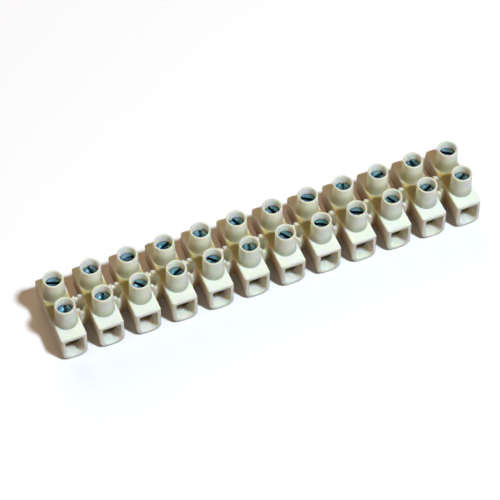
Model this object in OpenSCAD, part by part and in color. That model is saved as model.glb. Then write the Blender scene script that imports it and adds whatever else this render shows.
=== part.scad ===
// Moulded twelve-pole terminal strip: one plastic housing with a tunnel and two screw towers
// for each pole, a brass clamping insert in each tunnel, and two slotted screws in each insert.
// X runs along the strip, Y along the wires, Z up. The strip stands on the ground at Z = 0.

/* [Strip] */
// Distance from one pole to the next
pole_pitch = 10; // [9.6:0.1:14]
// Distance between the front and back screw of a pole
screw_spacing = 8.8; // [8:0.1:11]

/* [Pole body] */
// Width of a pole's tunnel body
body_w = 6.9; // [6.6:0.1:7.4]
// Length of a pole's tunnel body, from mouth to mouth
body_l = 20.4; // [18:0.1:26]
// Height of the flat deck above the ground
deck_h = 8.7; // [8.2:0.1:10]
// Thickness of the tunnel's side walls
side_wall = 1; // [0.8:0.05:1.2]
// Thickness of the tunnel's floor
floor_t = 0.9; // [0.6:0.1:1.2]
// Thickness of the deck over the tunnel
deck_t = 1; // [0.7:0.1:1.3]
// Radius of the body's long bottom edges
bottom_r = 2.9; // [2:0.1:3.2]
// Radius of the body's long top edges
top_r = 0.5; // [0.2:0.1:0.8]
// Radius of the body's four upright corners
corner_r = 0.6; // [0.2:0.1:1]

/* [Screw towers] */
// Height of the towers above the deck
tower_h = 6.7; // [5.5:0.1:8]
// Outer diameter at the tower's foot
tower_foot_d = 5.8; // [5.6:0.1:6.4]
// Outer diameter at the tower's rim
tower_rim_d = 5.4; // [5:0.1:5.6]
// Diameter of the well that the screw head sinks into
well_d = 4.3; // [4.1:0.1:4.5]

/* [Fixing collars] */
// Diameter of the fixing hole between two poles
fixing_hole_d = 3.4; // [3:0.1:4]
// Outer diameter of the collar round the fixing hole
collar_d = 5.4; // [4.8:0.1:5.8]
// Height of the collar's rim above the ground
collar_top = 7.8; // [6:0.1:8.6]
// Height of the collar's lower end above the ground
collar_bottom = 1.5; // [0.5:0.1:3]
// Width of the parting notch across the collar, at its rim
notch_w = 1; // [0.7:0.1:1.6]
// Width of the parting notch at its floor
notch_floor_w = 0.6; // [0.3:0.1:1.4]
// Depth of the parting notch
notch_depth = 0.9; // [0.3:0.1:2]

/* [Brass insert] */
// Length of the insert beyond each screw's axis
insert_end = 2.2; // [2:0.1:3.4]
// Diameter of the bore that takes the wire
wire_bore_d = 3.2; // [2.6:0.1:3.4]
// Brass left under the wire bore
insert_floor = 0.75; // [0.5:0.05:1]
// Clearance between the insert's sides and the tunnel
insert_gap = 0.1; // [0.05:0.05:0.2]

/* [Screws] */
// Diameter of the screw thread, drawn as a plain shank in a plain hole
thread_d = 3; // [2.5:0.1:3.2]
// Radial clearance of the shank in its hole
thread_gap = 0.05; // [0.02:0.01:0.1]
// Radial clearance of the screw head in its well
head_gap = 0.15; // [0.05:0.05:0.3]
// Height of the screw head, with its crown
head_h = 2; // [1.6:0.1:2.4]
// Height of the head's domed crown
head_crown = 0.25; // [0.1:0.05:0.4]
// Depth of the top of the crown below the tower's rim
head_recess = 1.8; // [1:0.1:2.2]
// Width of the screwdriver slot
slot_w = 0.8; // [0.5:0.1:1]
// Depth of the screwdriver slot
slot_depth = 1; // [0.6:0.1:1.2]
// Gap left between the open screw's tip and the wire bore
tip_gap = 0.1; // [0.05:0.05:0.5]

/* [Hidden] */
$fn = 64;
POLES = 12;
// Sideways lean of each slot from the X axis, in degrees, as the screws happened to stop
FRONT_SLOTS = [75, 70, 128, 27, 130, 78, 122, 152, 155, 115, 22, 35];
BACK_SLOTS = [160, 102, 5, 22, 75, 112, 110, 145, 72, 12, 95, 145];
overlap = 0.5;    // how far one shape runs into the next to be joined
past = 1;         // how far a cutting shape runs past a face
total_h = deck_h + tower_h;
tunnel_w = body_w - 2 * side_wall;
tunnel_h = deck_h - deck_t - floor_t;
tunnel_r = bottom_r - side_wall;
tower_wall = (tower_rim_d - well_d) / 2;
rim_z = total_h - tower_wall / 2;
insert_l = screw_spacing + 2 * insert_end;
insert_w = tunnel_w - 2 * insert_gap;
insert_h = tunnel_h - insert_gap;
insert_r = tunnel_r - insert_gap;
wire_z = floor_t + insert_floor + wire_bore_d / 2;
bore_top = wire_z + wire_bore_d / 2;
head_d = well_d - 2 * head_gap;
head_top = total_h - head_recess;
shank_top = head_top - head_h;
tip_z = bore_top + tip_gap;
head_edge = 0.25; // chamfer round the crown
tip_edge = 0.4;   // chamfer of the shank's tip
front = -1;       // the two rows of screws, by the sign of their Y
back = 1;

function two_digits(i) = str(i < 10 ? "0" : "", i);
function pole_x(i) = (i - (POLES + 1) / 2) * pole_pitch;
function insert_name(i) = str("insert_", two_digits(i));
function screw_name(row, i) = str(row == front ? "screw_front_" : "screw_back_", two_digits(i));

// Section with its foot at the origin: round lower corners of radius r_low, upper ones of radius r_up
module u_section(w, h, r_low, r_up) {
    translate([-w / 2, r_low]) square([w, h - r_low - r_up]);
    translate([-w / 2 + r_low, 0]) square([w - 2 * r_low, r_low + overlap]);
    for (side = [-1, 1]) translate([side * (w / 2 - r_low), r_low]) circle(r_low);
    if (r_up > 0) {
        translate([-w / 2 + r_up, h - r_up - overlap]) square([w - 2 * r_up, r_up + overlap]);
        for (side = [-1, 1]) translate([side * (w / 2 - r_up), h - r_up]) circle(r_up);
    }
}

// Extrudes an X-Z section along Y, centred on Y = 0
module along_y(length) {
    translate([0, length / 2, 0]) rotate([90, 0, 0]) linear_extrude(length) children();
}

// Plan outline of a pole's body, with its upright corners rounded
module body_plan() {
    for (side = [-1, 1], end = [-1, 1])
        translate([side * (body_w / 2 - corner_r), end * (body_l / 2 - corner_r)]) circle(corner_r);
    square([body_w - 2 * corner_r, body_l], center = true);
    square([body_w, body_l - 2 * corner_r], center = true);
}

module pole_body() {
    intersection() {
        along_y(body_l) u_section(body_w, deck_h, bottom_r, top_r);
        translate([0, 0, -past]) linear_extrude(deck_h + 2 * past) body_plan();
    }
}

// A screw tower: a slightly tapered tube with a full round on its rim
module tower() {
    foot_z = deck_h - overlap;
    rotate_extrude() {
        polygon([
            [0, foot_z],
            [tower_foot_d / 2, foot_z],
            [tower_rim_d / 2, rim_z],
            [0, rim_z]
        ]);
        translate([well_d / 2 + tower_wall / 2, rim_z]) circle(tower_wall / 2);
    }
}

module tunnel() {
    along_y(body_l + 2 * past)
        translate([0, floor_t]) u_section(tunnel_w, tunnel_h, tunnel_r, 0);
}

// The well that the screw goes down through, from above the rim into the tunnel
module well() {
    translate([0, 0, floor_t + tunnel_h - overlap]) cylinder(h = total_h, d = well_d);
}

module collar() {
    translate([0, 0, collar_bottom]) cylinder(h = collar_top - collar_bottom, d = collar_d);
}

module fixing_hole() {
    translate([0, 0, collar_bottom - past]) cylinder(h = collar_top + 2 * past, d = fixing_hole_d);
}

// Notch across the rim of a collar, where the strip is cut into shorter ones
module parting_notch() {
    along_y(collar_d + 2 * past) polygon([
        [-notch_w / 2, collar_top + past],
        [-notch_w / 2, collar_top],
        [-notch_floor_w / 2, collar_top - notch_depth],
        [notch_floor_w / 2, collar_top - notch_depth],
        [notch_w / 2, collar_top],
        [notch_w / 2, collar_top + past]
    ]);
}

module housing() {
    color("ivory") difference() {
        union() {
            for (i = [1:POLES]) translate([pole_x(i), 0, 0]) {
                pole_body();
                for (row = [front, back]) translate([0, row * screw_spacing / 2, 0]) tower();
            }
            for (i = [1:POLES - 1]) translate([pole_x(i + 0.5), 0, 0]) collar();
        }
        for (i = [1:POLES]) translate([pole_x(i), 0, 0]) {
            tunnel();
            for (row = [front, back]) translate([0, row * screw_spacing / 2, 0]) well();
        }
        for (i = [1:POLES - 1]) translate([pole_x(i + 0.5), 0, 0]) {
            fixing_hole();
            parting_notch();
        }
    }
}

// Brass body of one pole: flat on top, where the screws thread in, and round below
module insert(i) {
    color("goldenrod") translate([pole_x(i), 0, 0]) difference() {
        along_y(insert_l) translate([0, floor_t]) u_section(insert_w, insert_h, insert_r, 0);
        along_y(insert_l + 2 * past) translate([0, wire_z]) circle(d = wire_bore_d);
        for (row = [front, back]) translate([0, row * screw_spacing / 2, wire_z])
            cylinder(h = total_h, d = thread_d);
    }
}

// Slotted cheese-head screw with a low crown, backed out until its tip clears the wire bore
module screw(row, i) {
    lean = row == front ? FRONT_SLOTS[i - 1] : BACK_SLOTS[i - 1];
    shank_d = thread_d - 2 * thread_gap;
    crown_half_w = head_d / 2 - head_edge;
    crown_r = (pow(crown_half_w, 2) + pow(head_crown, 2)) / (2 * head_crown);
    shoulder_z = head_top - head_crown - head_edge;
    color("lightsteelblue") translate([pole_x(i), row * screw_spacing / 2, 0]) difference() {
        rotate_extrude() intersection() {
            polygon([
                [0, tip_z],
                [shank_d / 2 - tip_edge, tip_z],
                [shank_d / 2, tip_z + tip_edge],
                [shank_d / 2, shank_top],
                [head_d / 2, shank_top],
                [head_d / 2, shoulder_z],
                [0, shoulder_z + head_d / 2]
            ]);
            translate([0, head_top - crown_r]) circle(crown_r, $fn = 4 * $fn);
        }
        rotate(lean) translate([-head_d, -slot_w / 2, head_top - slot_depth])
            cube([2 * head_d, slot_w, slot_depth + past]);
    }
}

housing();
for (i = [1:POLES]) {
    insert(i);
    screw(front, i);
    screw(back, i);
}
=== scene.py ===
"""Looks of a moulded twelve-pole terminal strip: nylon housing, blue zinc screws, brass inserts."""

import math

import bpy
from mathutils import Matrix, Vector


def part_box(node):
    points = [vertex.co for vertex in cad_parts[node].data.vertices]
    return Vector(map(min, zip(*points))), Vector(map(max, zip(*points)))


MM = 0.001

# Camera: where it looks from, and how it is framed
CAMERA_YAW = 22.62      # degrees, to the right of straight along the wires
CAMERA_PITCH = 54.01    # degrees, looking down
CAMERA_ROLL = 0.18      # degrees
CAMERA_DISTANCE = 617.6 * MM
CAMERA_NEAREST = 10 * MM
CAMERA_LENS = 169.9     # mm
CAMERA_SENSOR = 36      # mm
AIM_RIGHT = -2.765 * MM  # the view's centre, from the strip's middle on the ground
AIM_UP = 2.628 * MM

# Sizes of the housing that no piece's box gives
DECK_OVER_INSERT = 1.1 * MM
TUNNEL_MARGIN = 0.3 * MM    # from an insert's side to inside the tunnel's wall
COLLAR_RADIUS = 2.75 * MM   # of a fixing collar, and just clear of it
COLLAR_TOP = 7.8 * MM
TOWER_RADIUS = 2.95 * MM    # of a screw tower's foot, and just clear of it

# Nylon: its own two colours, and tints of painted light and shade laid on in places, for how light
# and thickness make it look
CREAM = (0.91, 0.89, 0.72)
IVORY = (0.94, 0.92, 0.78)
FOOT_PAINTED_SHADE = (0.44, 0.49, 0.36)  # painted shade at a tower's foot, darker towards the deck, where the screw shows through
ROW_DECK_PAINTED_SHADE = (0.52, 0.42, 0.14)  # painted shade on the deck between the two rows of towers
SHADE = (0.48, 0.48, 0.31)  # on a tower, where it faces the other row
WELL_PAINTED_GLOW = (0.96, 0.97, 0.79)   # painted light round a tower's well, for the glow of the light through its wall
RIM_PAINTED_SHADE = (0.70, 0.71, 0.57)    # painted shade on the rims, which are too thin to throw much light back
GAP_PAINTED_SHADE = (0.34, 0.17, 0.03)  # painted amber shade deep between two poles
TUNNEL_PAINTED_SHADE = (0.72, 0.66, 0.54)   # painted shade deep in a tunnel
NYLON_IOR = 1.5
NYLON_DEPTH = 1.5 * MM          # how far light travels inside
NYLON_SPREAD = (1.0, 0.6, 0.2)  # the share of that depth that red, green and blue travel

# Where the painted light and shade tints fade: the start and end of each fade, from the line in its
# name
OFF_WALL = (0, 0.6 * MM)           # out from a tunnel or a collar
OVER_DECK = (0, 2.5 * MM)
UP_TO_DECK = (-0.8 * MM, -0.2 * MM)
PAST_SCREWS = (-2 * MM, 0.8 * MM)  # outwards from the strip's middle
ROUND_HEADS = (-3.5 * MM, 1 * MM)  # up past the top of the screw heads
UP_TO_RIM = (-0.4 * MM, 0)
UP_TO_COLLAR_TOP = (-0.7 * MM, -0.2 * MM)
COLLAR_END = 0.2 * MM              # over a collar's top, where its rim's painted shade ends
FOOT_END = 1 * MM                  # under the top of the heads, where the foot's painted shade ends
SHADE_END = 2.5 * MM               # under it, where the shade on the towers begins to end

# How shut in a point is: the reach in which walls count, and the share of open directions at
# which it is wholly shut in and wholly clear
RECESS_REACH = 6 * MM
RECESS_OPENNESS = (0.1, 0.7)
SLOT_REACH = 1 * MM
SLOT_OPENNESS = (0.4, 0.8)
OPENNESS_SAMPLES = 8

# Metals
ZINC_BLUE = (0.08, 0.30, 0.46)
ZINC_PALE = (0.34, 0.56, 0.66)
SLOT_PAINTED_SHADE = (0.012, 0.014, 0.018)  # painted shade in and round the screwdriver slots
# Brass: both colours painted darker than clean brass, as shade deep in the tunnels
BRASS_PAINTED_SHADE = (0.20, 0.14, 0.06)
BRASS_BRIGHT = (0.36, 0.26, 0.11)

# Noise: how colour, roughness and height vary, at so many features per metre
NYLON_MOTTLE = 260
NYLON_POLISH = {"scale": 900, "smooth": 0.42, "rough": 0.56}
NYLON_GRAIN = {"scale": 1800, "height": 0.05 * MM, "strength": 0.25}
ZINC_MOTTLE = 700
ZINC_POLISH = {"scale": 2500, "smooth": 0.20, "rough": 0.36}
ZINC_GRAIN = {"scale": 2200, "height": 0.03 * MM, "strength": 0.12}
BRASS_MOTTLE = 400
BRASS_POLISH = {"scale": 1500, "smooth": 0.28, "rough": 0.46}
NOISE_DETAIL = 3.0
# Of two colours, the first is pure up to this part of the noise's range, 0 to 1, and the second
# from as far below its top
NOISE_LOW = 0.3
ZINC_NOISE_LOW = 0.35

# Lamps: round, and aimed at the strip's middle. Azimuth is in degrees from +X, size in metres
LAMP_DISTANCE = 1.2
LAMPS = {
    "key": {
        "azimuth": -57, "elevation": 59.7, "size": 0.14, "power": 13.8,
        "colour": (0.88, 1.0, 1.18),
    },
    # Weak and cool, behind the strip, for the screw heads to mirror
    "sheen": {
        "azimuth": 104, "elevation": 46, "size": 0.3, "power": 2.0,
        "colour": (0.72, 1.0, 1.05), "scattered": False,
    },
    # Two warm fills, too dull to mirror
    "front": {
        "azimuth": -142, "elevation": 32, "size": 1.0, "power": 2.1,
        "colour": (1.0, 0.95, 0.80), "mirrored": False,
    },
    "back": {
        "azimuth": 92, "elevation": 28, "size": 1.2, "power": 6.4,
        "colour": (1.0, 0.68, 0.42), "mirrored": False,
    },
}

# Surroundings
SKY_LIGHT = (0.06, 0.026, 0.009)   # light from all round
SKY_MIRRORED = (0.06, 0.07, 0.08)  # what gloss shows of it
FLOOR_SIZE = 6
FLOOR_ROUGHNESS = 0.9
FLOOR_SEEN = (1.0, 1.0, 0.95)      # the floor's colour to the camera and in gloss
FLOOR_BOUNCE = (0.14, 0.07, 0.03)  # and to the light that it throws back


def new_material(name):
    material = bpy.data.materials.new(name)
    material.use_nodes = True
    tree = material.node_tree
    return material, tree, tree.nodes["Principled BSDF"]


def add(tree, kind, **inputs):
    node = tree.nodes.new(kind)
    for name, value in inputs.items():
        node.inputs[name.replace("_", " ")].default_value = value
    return node


def noise(tree, scale):
    """Noise in object space, with its scale in features per metre."""
    place = tree.nodes.new("ShaderNodeTexCoord")
    texture = add(tree, "ShaderNodeTexNoise", Scale=scale, Detail=NOISE_DETAIL)
    tree.links.new(place.outputs["Object"], texture.inputs["Vector"])
    return texture.outputs["Fac"]


def mottled(tree, scale, low, high, noise_low=NOISE_LOW):
    """A colour that wanders between low and high."""
    node = tree.nodes.new("ShaderNodeValToRGB")
    first, last = node.color_ramp.elements
    first.position, first.color = noise_low, (*low, 1)
    last.position, last.color = 1 - noise_low, (*high, 1)
    tree.links.new(noise(tree, scale), node.inputs["Fac"])
    return node.outputs["Color"]


def polish(tree, shader, scale, smooth, rough):
    """Roughness that wanders between smooth and rough."""
    gloss = mottled(tree, scale, (smooth,) * 3, (rough,) * 3)
    tree.links.new(gloss, shader.inputs["Roughness"])


def grain(tree, shader, scale, height, strength):
    """A fine unevenness of the surface."""
    node = add(tree, "ShaderNodeBump", Strength=strength, Distance=height)
    tree.links.new(noise(tree, scale), node.inputs["Height"])
    tree.links.new(node.outputs["Normal"], shader.inputs["Normal"])


def mixed(tree, first, second, factor):
    """The first colour where factor is 0, the second where it is 1; a colour may be a socket."""
    node = tree.nodes.new("ShaderNodeMix")
    node.data_type = "RGBA"
    for name, colour in (("A", first), ("B", second)):
        if isinstance(colour, tuple):
            node.inputs[name].default_value = (*colour, 1)
        else:
            tree.links.new(colour, node.inputs[name])
    tree.links.new(factor, node.inputs["Factor"])
    return node.outputs["Result"]


def maths(tree, operation, *operands):
    """One arithmetic step; each operand is a socket or a number."""
    node = tree.nodes.new("ShaderNodeMath")
    node.operation = operation
    for socket, value in zip(node.inputs, operands):
        if isinstance(value, (int, float)):
            socket.default_value = value
        else:
            tree.links.new(value, socket)
    return node.outputs[0]


def product(tree, first, *others):
    for other in others:
        first = maths(tree, "MULTIPLY", first, other)
    return first


def opposite(tree, factor):
    return maths(tree, "SUBTRACT", 1.0, factor)


def length(tree, across, along):
    squares = [maths(tree, "MULTIPLY", value, value) for value in (across, along)]
    return maths(tree, "SQRT", maths(tree, "ADD", *squares))


def fade(tree, value, start, end, line=0.0):
    """0 up to start and 1 from end, both from a line, with a smooth step between."""
    node = add(tree, "ShaderNodeMapRange", From_Min=line + start, From_Max=line + end)
    node.interpolation_type = "SMOOTHSTEP"
    tree.links.new(value, node.inputs["Value"])
    return node.outputs["Result"]


def enclosed(tree, reach, openness):
    """1 where a point is shut in by what stands within reach, down to 0 where it is clear."""
    node = add(tree, "ShaderNodeAmbientOcclusion", Distance=reach)
    node.samples = OPENNESS_SAMPLES
    return opposite(tree, fade(tree, node.outputs["AO"], *openness))


def light_and_shade_tints(tree, shape):
    """The housing's tints of painted light and shade, in the order they are laid on, each with its
    strength at a point.
    """
    place = tree.nodes.new("ShaderNodeNewGeometry")
    axes = tree.nodes.new("ShaderNodeSeparateXYZ")
    tree.links.new(place.outputs["Position"], axes.inputs["Vector"])
    x, y, z = (axes.outputs[name] for name in "XYZ")
    off_middle = maths(tree, "ABSOLUTE", y)
    off_hole = maths(tree, "PINGPONG", x, shape["pitch"] / 2)
    off_pole = maths(tree, "SUBTRACT", shape["pitch"] / 2, off_hole)
    from_hole = length(tree, off_hole, y)
    from_screw = length(tree, off_pole, maths(tree, "SUBTRACT", off_middle, shape["screw_y"]))

    below_deck = opposite(tree, fade(tree, z, *OVER_DECK, line=shape["deck"]))
    off_collar = fade(tree, from_hole, *OFF_WALL, line=shape["collar"])
    off_tunnel = fade(tree, off_pole, *OFF_WALL, line=shape["tunnel"])
    # Painted shade in the recesses below the deck, between the poles and in the tunnels
    recess_shade = product(tree, enclosed(tree, RECESS_REACH, RECESS_OPENNESS), below_deck)
    gap_shade = product(tree, recess_shade, off_collar, off_tunnel)
    # Painted shade inside the tunnels
    tunnel_shade = product(tree, recess_shade, opposite(tree, off_tunnel))

    on_tower = maths(tree, "LESS_THAN", from_screw, shape["tower"])
    over_foot = fade(tree, z, shape["deck"], shape["head"] - FOOT_END)
    # Painted shade down each tower's foot
    foot_shade = product(tree, on_tower, opposite(tree, over_foot))
    # Painted light, a glow round the top of each tower
    well_glow = product(tree, on_tower, fade(tree, z, *ROUND_HEADS, line=shape["head"]))

    over_shade = fade(tree, z, shape["head"] - SHADE_END, shape["rim"])
    past_screws = fade(tree, off_middle, *PAST_SCREWS, line=shape["screw_y"])
    facing = product(tree, opposite(tree, over_shade), opposite(tree, past_screws))
    # Painted shade on the deck between the rows
    row_deck_shade = product(tree, facing, fade(tree, z, *UP_TO_DECK, line=shape["deck"]))
    facing_tower = product(tree, facing, on_tower)

    in_collar = maths(tree, "LESS_THAN", from_hole, shape["collar"])
    under_end = maths(tree, "LESS_THAN", z, shape["collar_top"] + COLLAR_END)
    at_top = fade(tree, z, *UP_TO_COLLAR_TOP, line=shape["collar_top"])
    # Painted shade on the rims of the towers and the collars
    tower_rim_shade = product(tree, on_tower, fade(tree, z, *UP_TO_RIM, line=shape["rim"]))
    collar_rim_shade = product(tree, in_collar, under_end, at_top)
    rim = maths(tree, "MAXIMUM", tower_rim_shade, collar_rim_shade)

    return [
        (FOOT_PAINTED_SHADE, foot_shade), (ROW_DECK_PAINTED_SHADE, row_deck_shade), (SHADE, facing_tower), (WELL_PAINTED_GLOW, well_glow), (RIM_PAINTED_SHADE, rim),
        (GAP_PAINTED_SHADE, gap_shade), (TUNNEL_PAINTED_SHADE, tunnel_shade),
    ]


def nylon(shape):
    """Natural nylon: milky cream with painted light and shade, amber shade in its recesses, and
    light bleeding through thin walls.
    """
    material, tree, shader = new_material("nylon")
    colour = mottled(tree, NYLON_MOTTLE, CREAM, IVORY)
    for tint, strength in light_and_shade_tints(tree, shape):
        colour = mixed(tree, colour, tint, strength)
    tree.links.new(colour, shader.inputs["Base Color"])
    shader.inputs["Subsurface Weight"].default_value = 1.0
    shader.inputs["Subsurface Radius"].default_value = NYLON_SPREAD
    shader.inputs["Subsurface Scale"].default_value = NYLON_DEPTH
    shader.inputs["IOR"].default_value = NYLON_IOR
    polish(tree, shader, **NYLON_POLISH)
    grain(tree, shader, **NYLON_GRAIN)
    return material


def zinc():
    """Blue passivated zinc plate on steel."""
    material, tree, shader = new_material("blue_zinc")
    colour = mottled(tree, ZINC_MOTTLE, ZINC_BLUE, ZINC_PALE, ZINC_NOISE_LOW)
    # Painted shade in and round the screwdriver slots
    colour = mixed(tree, colour, SLOT_PAINTED_SHADE, enclosed(tree, SLOT_REACH, SLOT_OPENNESS))
    tree.links.new(colour, shader.inputs["Base Color"])
    shader.inputs["Metallic"].default_value = 1.0
    polish(tree, shader, **ZINC_POLISH)
    grain(tree, shader, **ZINC_GRAIN)
    return material


def brass():
    """Brass, painted darker than clean brass as shade for where it sits deep in the tunnels."""
    material, tree, shader = new_material("brass")
    colour = mottled(tree, BRASS_MOTTLE, BRASS_PAINTED_SHADE, BRASS_BRIGHT)
    tree.links.new(colour, shader.inputs["Base Color"])
    shader.inputs["Metallic"].default_value = 1.0
    polish(tree, shader, **BRASS_POLISH)
    return material


def proportions():
    """Where the poles and their parts are, from the pieces that mark them."""
    insert, next_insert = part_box("insert_01"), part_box("insert_02")
    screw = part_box("screw_back_01")
    return {
        "pitch": next_insert[0].x - insert[0].x,
        "screw_y": (screw[0].y + screw[1].y) / 2,
        "tunnel": (insert[1].x - insert[0].x) / 2 + TUNNEL_MARGIN,
        "deck": insert[1].z + DECK_OVER_INSERT,
        "head": screw[1].z,
        "rim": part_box("housing")[1].z,
        "collar": COLLAR_RADIUS,
        "collar_top": COLLAR_TOP,
        "tower": TOWER_RADIUS,
    }


def dress(frame):
    looks = {"housing": nylon(proportions()), "insert": brass(), "screw": zinc()}
    for name, piece in frame["nodes"].items():
        look = looks[name.split("_")[0]]
        for slot in piece.material_slots:
            slot.material = look


def floor():
    """Plain pale floor that shows white to the camera and keeps the strip's shadow."""
    bpy.ops.mesh.primitive_plane_add(size=FLOOR_SIZE)
    plane = bpy.context.object
    plane.name = "floor"
    material, tree, shader = new_material("floor")
    path = tree.nodes.new("ShaderNodeLightPath")
    seen = maths(tree, "MAXIMUM", path.outputs["Is Camera Ray"], path.outputs["Is Glossy Ray"])
    colour = mixed(tree, FLOOR_BOUNCE, FLOOR_SEEN, seen)
    tree.links.new(colour, shader.inputs["Base Color"])
    shader.inputs["Roughness"].default_value = FLOOR_ROUGHNESS
    shader.inputs["Specular IOR Level"].default_value = 0.0
    plane.data.materials.append(material)


def sky():
    world = bpy.data.worlds.new("studio")
    bpy.context.scene.world = world
    world.use_nodes = True
    tree = world.node_tree
    path = tree.nodes.new("ShaderNodeLightPath")
    colour = mixed(tree, SKY_LIGHT, SKY_MIRRORED, path.outputs["Is Glossy Ray"])
    tree.links.new(colour, tree.nodes["Background"].inputs["Color"])


def lamp(name, azimuth, elevation, size, power, colour, mirrored=True, scattered=True):
    """A round soft lamp that shines on the strip's middle."""
    azimuth, elevation = math.radians(azimuth), math.radians(elevation)
    flat = math.cos(elevation)
    towards = Vector((flat * math.cos(azimuth), flat * math.sin(azimuth), math.sin(elevation)))
    light = bpy.data.lights.new(name, "AREA")
    light.shape = "DISK"
    light.size = size
    light.energy = power
    light.color = colour
    stand = bpy.data.objects.new(name, light)
    stand.location = towards * LAMP_DISTANCE
    stand.rotation_euler = towards.to_track_quat("Z", "Y").to_euler()
    stand.visible_glossy = mirrored
    stand.visible_diffuse = scattered
    bpy.context.collection.objects.link(stand)


def camera():
    yaw, pitch, roll = (math.radians(a) for a in (CAMERA_YAW, CAMERA_PITCH, CAMERA_ROLL))
    flat = math.cos(pitch)
    ahead = Vector((flat * math.sin(yaw), flat * math.cos(yaw), -math.sin(pitch)))
    level = Vector((math.cos(yaw), -math.sin(yaw), 0))
    upright = level.cross(ahead)
    right = math.cos(roll) * level + math.sin(roll) * upright
    up = math.cos(roll) * upright - math.sin(roll) * level
    data = bpy.data.cameras.new("camera")
    data.lens = CAMERA_LENS
    data.sensor_width = CAMERA_SENSOR
    data.clip_start = CAMERA_NEAREST
    view = bpy.data.objects.new("camera", data)
    place = right * AIM_RIGHT + up * AIM_UP - ahead * CAMERA_DISTANCE
    turn = Matrix((right, up, -ahead)).transposed().to_4x4()
    view.matrix_world = Matrix.Translation(place) @ turn
    bpy.context.collection.objects.link(view)
    bpy.context.scene.camera = view


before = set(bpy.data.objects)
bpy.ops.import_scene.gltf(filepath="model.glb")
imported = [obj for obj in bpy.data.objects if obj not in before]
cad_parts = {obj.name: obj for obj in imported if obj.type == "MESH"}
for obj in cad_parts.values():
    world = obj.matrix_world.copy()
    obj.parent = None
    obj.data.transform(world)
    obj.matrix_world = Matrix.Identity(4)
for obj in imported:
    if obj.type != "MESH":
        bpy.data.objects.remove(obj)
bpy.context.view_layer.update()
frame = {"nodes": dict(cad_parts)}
dress(frame)
floor()
sky()
for lamp_name, settings in LAMPS.items():
    lamp(lamp_name, **settings)
camera()
bpy.context.scene.view_settings.view_transform = "Standard"
